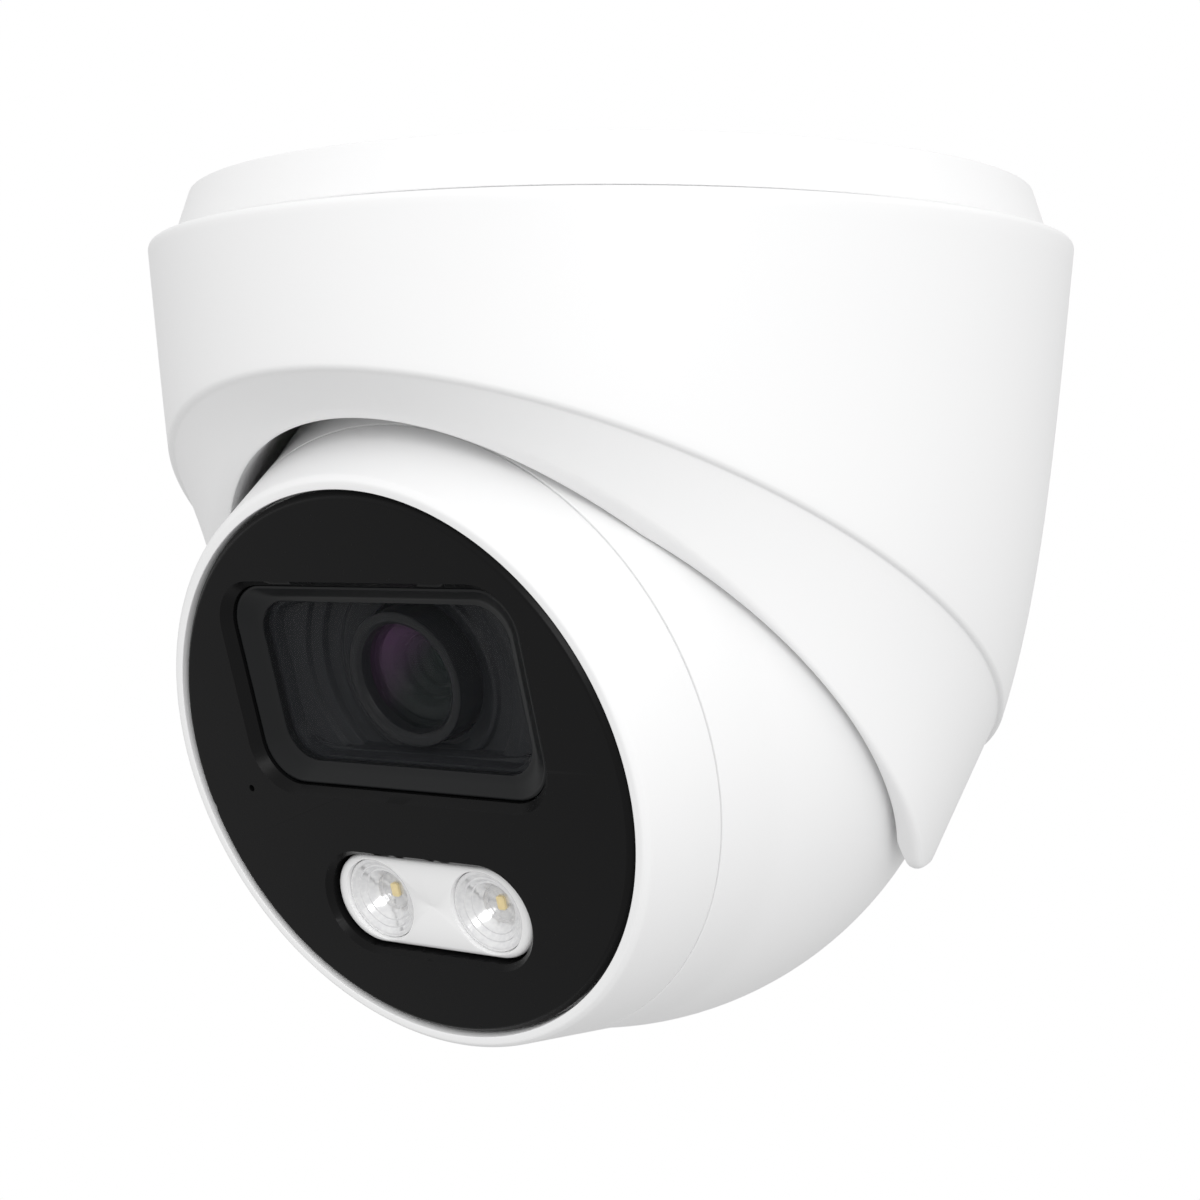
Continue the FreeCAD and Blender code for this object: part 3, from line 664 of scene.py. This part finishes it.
# The painted reflection starts at the centre of the glass and is full at its upper left edge.
PAINTED_REFLECTION_SWEEP = (0.7 * lens_centre.z - 0.0005, 0.7 * lens_centre.z + 0.0065)
# Front glass: dark, with a magenta reflection painted at its upper left.
front_glass = turned("front_glass", dome_outline(7.0, 33.3, 34.1, 1.6), in_ball, steps=96, centre=(0, LENS_Y))
smooth(front_glass, 40)
dress(front_glass, glass_with_painted_reflection("magenta_painted_reflection", (0.004, 0.012, 0.010), (0.16, 0.045, 0.17), 0.30, 0.6,
                          PAINTED_REFLECTION_SWEEP),
      "ball", "coated_glass", "front_element")
# Rear glass: green, painted lighter at its upper left as a reflection.
rear_glass = turned("rear_glass", dome_outline(3.1, 26.2, 26.8, 1.3), in_ball, steps=64, centre=(0, LENS_Y))
smooth(rear_glass, 40)
dress(rear_glass, glass_with_painted_reflection("green_painted_reflection", (0.01, 0.05, 0.04), (0.03, 0.10, 0.09), 1.0, 0.5, PAINTED_REFLECTION_SWEEP),
      "ball", "coated_glass", "rear_element")

# ---------------------------------------------------------------------------
# Lamp tray: white oval moulding with two cups, each holding a clear moulded
# collimator over a yellow lamp chip on the small board behind. The small
# block in each cup is that chip, as large as the clear lens makes it look.
# ---------------------------------------------------------------------------
tray_levels = [
    (31.4, 12.1, 6.0, 36.5), (31.4, 12.1, 6.0, 39.1), (31.2, 11.9, 5.9, 39.45), (30.7, 11.4, 5.65, 39.7),
    (29.9, 10.6, 5.25, 39.78), (0.02, 0.02, 0.008, 39.78), (0.02, 0.02, 0.008, 36.5),
]
tray = nested("lamp_tray", tray_levels, (0, LAMP_Y), 160)
for side in (-1, 1):
    cup_outline = [(0.003, 36.0), (4.0, 36.0), (5.45, 39.2), (5.6, 41.0), (0.003, 41.0)]
    cup = turned("cup_cutter", cup_outline, in_ball, steps=96, centre=(side * LAMP_X, LAMP_Y))
    cut_with(tray, cup)
break_edges(tray, 0.12, 40, 2)
smooth(tray, 35)
white_tray = moulded("white_tray", (0.84, 0.84, 0.84), (0.82, 0.82, 0.82), 0.35, 1800.0, 0.01)
dress(tray, white_tray, "ball", "white_tray", "led_tray")


def chrome_like(name):
    """Bright total-reflection surface of the collimators, slightly uneven."""
    material = bpy.data.materials.new(name)
    material.use_nodes = True
    tree = material.node_tree
    shader = tree.nodes["Principled BSDF"]
    place = tree.nodes.new("ShaderNodeTexCoord")
    cloud = tree.nodes.new("ShaderNodeTexNoise")
    cloud.inputs["Scale"].default_value = 1800.0
    ramp = tree.nodes.new("ShaderNodeValToRGB")
    ramp.color_ramp.elements[0].position = 0.35
    ramp.color_ramp.elements[0].color = (0.80, 0.80, 0.81, 1)
    ramp.color_ramp.elements[1].position = 0.65
    ramp.color_ramp.elements[1].color = (0.88, 0.88, 0.88, 1)
    tree.links.new(place.outputs["Object"], cloud.inputs["Vector"])
    tree.links.new(cloud.outputs["Fac"], ramp.inputs["Fac"])
    tree.links.new(ramp.outputs["Color"], shader.inputs["Base Color"])
    shader.inputs["Metallic"].default_value = 0.6
    shader.inputs["Roughness"].default_value = 0.16
    return material


bright = chrome_like("collimator_silver")
clear_plastic = clear("clear_plastic", (0.95, 0.95, 0.95), 0.12, 0.05)
lens_outline = soft_outline(
    [(0.003, 36.1), (2.7, 36.1), (4.0, 37.0), (5.3, 38.9), (5.35, 39.25), (4.85, 39.3), (4.3, 38.75),
     (4.1, 38.85), (3.55, 38.2), (3.35, 38.3), (2.75, 37.6), (2.45, 37.2), (2.42, 36.5), (0.003, 36.5)],
    [0, 0, 0, 0.15, 0.1, 0.15, 0.05, 0.08, 0.05, 0.08, 0.1, 0, 0, 0])
lamps = []
for side in (-1, 1):
    cup = turned("lamp_cup", lens_outline, in_ball, steps=96, centre=(side * LAMP_X, LAMP_Y))
    smooth(cup, 30)
    lamps.append(cup)
bpy.ops.object.select_all(action="DESELECT")
for cup in lamps:
    cup.select_set(True)
bpy.context.view_layer.objects.active = lamps[0]
bpy.ops.object.join()
lamp_cups = bpy.context.object
lamp_cups.name = "lamp_cups"
dress(lamp_cups, bright, "ball", "clear_lens", "led_lenses")
domes = []
for side in (-1, 1):
    dome = turned("lamp_dome", dome_outline(2.35, 36.5, 37.3, 0.9, 10), in_ball, steps=64,
                  centre=(side * LAMP_X, LAMP_Y))
    smooth(dome, 40)
    domes.append(dome)
bpy.ops.object.select_all(action="DESELECT")
for dome in domes:
    dome.select_set(True)
bpy.context.view_layer.objects.active = domes[0]
bpy.ops.object.join()
lamp_domes = bpy.context.object
lamp_domes.name = "lamp_domes"
dress(lamp_domes, clear_plastic, "ball", "clear_lens")
chips = []
for side in (-1, 1):
    chip = nested("lamp_chip", [(1.2, 1.8, 0.3, 36.52), (1.2, 1.8, 0.3, 36.9), (0.8, 1.4, 0.25, 37.02),
                                (0.02, 0.02, 0.008, 37.02), (0.02, 0.02, 0.008, 36.52)],
                  (side * LAMP_X, LAMP_Y), 64)
    smooth(chip, 35)
    chips.append(chip)
bpy.ops.object.select_all(action="DESELECT")
for chip in chips:
    chip.select_set(True)
bpy.context.view_layer.objects.active = chips[0]
bpy.ops.object.join()
lamp_glow = bpy.context.object
lamp_glow.name = "lamp_chips_seen"
lamp_yellow = moulded("lamp_yellow", (0.86, 0.66, 0.25), (0.90, 0.74, 0.38), 0.5, 1500.0, 0.02)
dress(lamp_glow, lamp_yellow, "ball", "phosphor")

# ---------------------------------------------------------------------------
# Everything that keeps its own solid: boards, screws, seals, the swivel and
# the tilt carriage. Each gets the finish of what it is made of.
# ---------------------------------------------------------------------------
finishes = {
    "steel": moulded("zinc_steel", (0.55, 0.55, 0.56), (0.45, 0.45, 0.46), 0.28, 1200.0, 0.004, metallic=1.0),
    "bare_aluminium": moulded("cast_aluminium", (0.66, 0.66, 0.67), (0.58, 0.58, 0.59), 0.38, 900.0, 0.02,
                              metallic=1.0),
    "rubber_seal": moulded("black_rubber", (0.02, 0.02, 0.02), (0.028, 0.028, 0.028), 0.65, 1600.0, 0.02),
    "grey_foam": moulded("grey_foam", (0.33, 0.33, 0.33), (0.26, 0.26, 0.26), 0.8, 1400.0, 0.06),
    "light_seal": moulded("light_seal", (0.56, 0.56, 0.56), (0.50, 0.50, 0.50), 0.7, 1400.0, 0.04),
    "slide_plastic": moulded("slide_plastic", (0.045, 0.045, 0.047), (0.035, 0.035, 0.037), 0.45),
    "circuit_green": moulded("circuit_green", (0.02, 0.14, 0.05), (0.015, 0.11, 0.04), 0.35, 1500.0, 0.01),
    "chip_black": moulded("chip_black", (0.02, 0.02, 0.02), (0.03, 0.03, 0.03), 0.5),
    "dark_baffle": dark_matt,
    "coated_glass": moulded("filter_glass", (0.05, 0.12, 0.12), (0.04, 0.10, 0.11), 0.08, 600.0, 0.001),
    "sensor_glass": moulded("sensor_glass", (0.03, 0.05, 0.07), (0.02, 0.04, 0.05), 0.1, 600.0, 0.001),
    "copper_film": moulded("copper_film", (0.5, 0.3, 0.08), (0.42, 0.25, 0.07), 0.35, 900.0, 0.005),
    "phosphor": lamp_yellow,
}
slot_of = {part["node"]: part["material_slot"] for part in frame["record"]["subparts"]}
for name, node in nodes.items():
    if node.hide_render or name == "lens_window":
        continue
    node.data.materials.clear()
    node.data.materials.append(finishes[slot_of[name]])

# ---------------------------------------------------------------------------
# Studio: a seamless pale room turned from one outline, pale light from all
# round, one large soft lamp in front to the right, and the camera.
# ---------------------------------------------------------------------------
room_outline = [(0.003, -650.0), (1500.0, -650.0), (2100.0, -500.0), (2350.0, -100.0), (2400.0, 700.0),
                (2200.0, 1500.0), (1500.0, 1900.0), (0.003, 2000.0)]


def room_place(column, row):
    radius, height = room_outline[row]
    angle = 2 * math.pi * column / 96
    return (radius * math.cos(angle), radius * math.sin(angle), height)


room = sheet_to_shape("studio_room", 96, len(room_outline) - 1, room_place)
bpy.ops.object.select_all(action="DESELECT")
room.select_set(True)
bpy.context.view_layer.objects.active = room
soften = room.modifiers.new("soften", "SUBSURF")
soften.levels = 2
soften.render_levels = 2
bpy.ops.object.modifier_apply(modifier=soften.name)
bpy.ops.object.shade_smooth()
paper = bpy.data.materials.new("studio_paper")
paper.use_nodes = True
shader = paper.node_tree.nodes["Principled BSDF"]
shader.inputs["Base Color"].default_value = (0, 0, 0, 1)
shader.inputs["Roughness"].default_value = 1.0
shader.inputs["Specular IOR Level"].default_value = 0.0
shader.inputs["Emission Color"].default_value = (1, 1, 1, 1)
shader.inputs["Emission Strength"].default_value = 1.0
room.data.materials.append(paper)
room.visible_diffuse = False
room.visible_glossy = False
room.visible_transmission = False
room.visible_shadow = False


def soft_light(name, place, size, power):
    """Large square lamp aimed at the ball."""
    lamp = bpy.data.lights.new(name, "AREA")
    lamp.shape = "SQUARE"
    lamp.size = size
    lamp.energy = power
    light = bpy.data.objects.new(name, lamp)
    bpy.context.scene.collection.objects.link(light)
    light.location = Vector(place)
    aim = Vector((0, 0, -0.06)) - light.location
    light.rotation_euler = aim.to_track_quat("-Z", "Y").to_euler()
    return light


soft_light("key_light", (0.95, -0.95, 0.40), 0.8, 9.0)

world = bpy.data.worlds.new("studio_world")
bpy.context.scene.world = world
world.use_nodes = True
tree = world.node_tree
place = tree.nodes.new("ShaderNodeTexCoord")
split = tree.nodes.new("ShaderNodeSeparateXYZ")
fade = tree.nodes.new("ShaderNodeMapRange")
fade.inputs["From Min"].default_value = -1.0
fade.inputs["From Max"].default_value = 1.0
fade.inputs["To Min"].default_value = 0.60
fade.inputs["To Max"].default_value = 0.93
tree.nodes["Background"].inputs["Color"].default_value = (1, 1, 1, 1)
tree.links.new(place.outputs["Generated"], split.inputs["Vector"])
tree.links.new(split.outputs["Z"], fade.inputs["Value"])
tree.links.new(fade.outputs["Result"], tree.nodes["Background"].inputs["Strength"])

bpy.context.scene.view_settings.view_transform = "Standard"
lens = bpy.data.cameras.new("camera")
lens.lens = 69.1
lens.sensor_width = 36.0
lens.clip_start = 0.01
camera = bpy.data.objects.new("camera", lens)
bpy.context.scene.collection.objects.link(camera)
camera.location = (0.1883, -0.2463, -0.0454)
camera.rotation_euler = (math.radians(88.56), 0.0, math.radians(37.66))
bpy.context.scene.camera = camera
